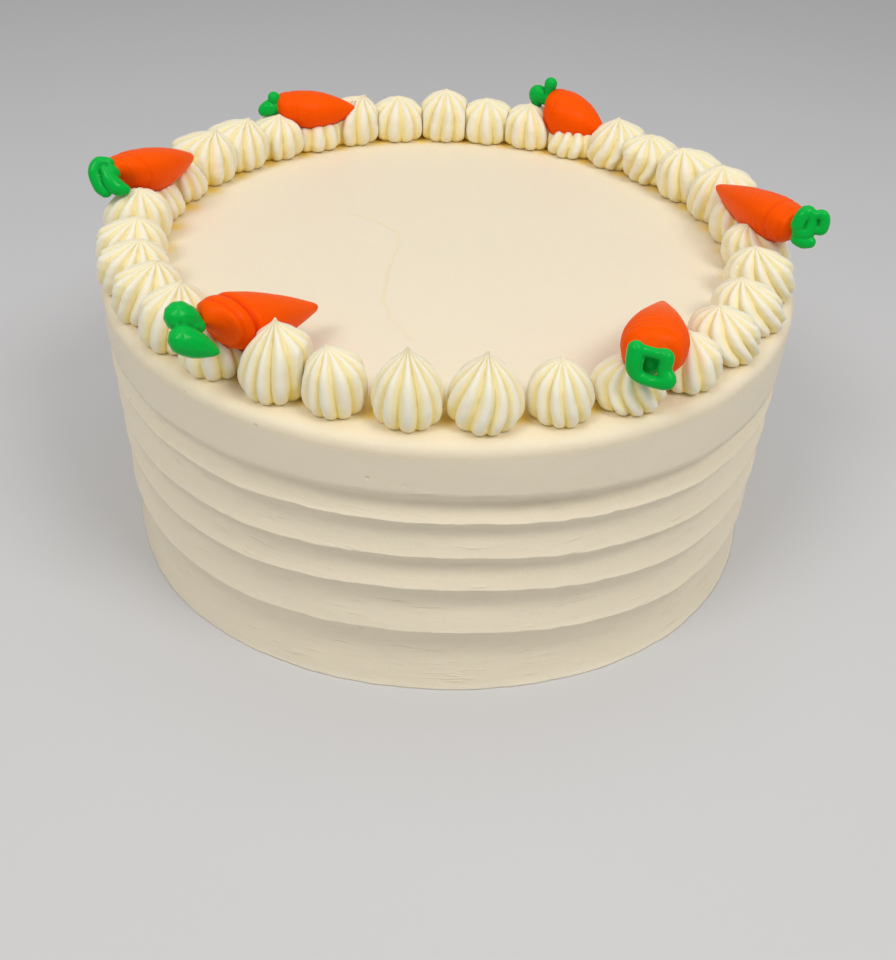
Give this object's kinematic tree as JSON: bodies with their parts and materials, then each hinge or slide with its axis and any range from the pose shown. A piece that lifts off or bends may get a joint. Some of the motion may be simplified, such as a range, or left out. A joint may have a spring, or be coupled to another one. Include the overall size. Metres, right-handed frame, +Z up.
{
  "type": "carrot cake",
  "caption": "Round iced carrot cake with combed sides, a border of piped kisses and small piped carrots resting on it.",
  "frame": {"origin": "centre of the cake's flat underside, on the plane it rests on", "axes": "+Z up the cake's own axis, -Y towards the front, +X to the right seen from the front"},
  "size_m": [0.2545, 0.248, 0.1333],
  "materials": {
    "smooth_icing": "satin ivory cream cheese icing, spread smooth on top and combed at the side",
    "piped_icing": "satin ivory icing, piped, yellower in its grooves",
    "carrot_icing": "semi-gloss orange icing, piped",
    "leaf_icing": "glossy green gel icing"
  },
  "bodies": {
    "root": {"cake_body": "smooth_icing", "kiss_01": "piped_icing", "kiss_02": "piped_icing", "kiss_03": "piped_icing", "kiss_04": "piped_icing", "kiss_05": "piped_icing", "kiss_06": "piped_icing", "kiss_07": "piped_icing", "kiss_08": "piped_icing", "kiss_09": "piped_icing", "kiss_10": "piped_icing", "kiss_11": "piped_icing", "kiss_12": "piped_icing", "kiss_13": "piped_icing", "kiss_14": "piped_icing", "kiss_15": "piped_icing", "kiss_16": "piped_icing", "kiss_17": "piped_icing", "kiss_18": "piped_icing", "kiss_19": "piped_icing", "kiss_20": "piped_icing", "kiss_21": "piped_icing", "kiss_22": "piped_icing", "kiss_23": "piped_icing", "kiss_24": "piped_icing", "kiss_25": "piped_icing", "kiss_26": "piped_icing", "kiss_27": "piped_icing", "kiss_28": "piped_icing", "kiss_29": "piped_icing", "kiss_30": "piped_icing", "kiss_31": "piped_icing", "kiss_32": "piped_icing", "kiss_33": "piped_icing", "kiss_34": "piped_icing", "carrot_root_1": "carrot_icing", "carrot_root_2": "carrot_icing", "carrot_root_3": "carrot_icing", "carrot_root_4": "carrot_icing", "carrot_root_5": "carrot_icing", "carrot_root_6": "carrot_icing", "carrot_leaves_1": "leaf_icing", "carrot_leaves_2": "leaf_icing", "carrot_leaves_3": "leaf_icing", "carrot_leaves_4": "leaf_icing", "carrot_leaves_5": "leaf_icing", "carrot_leaves_6": "leaf_icing"}
  },
  "joints": []
}
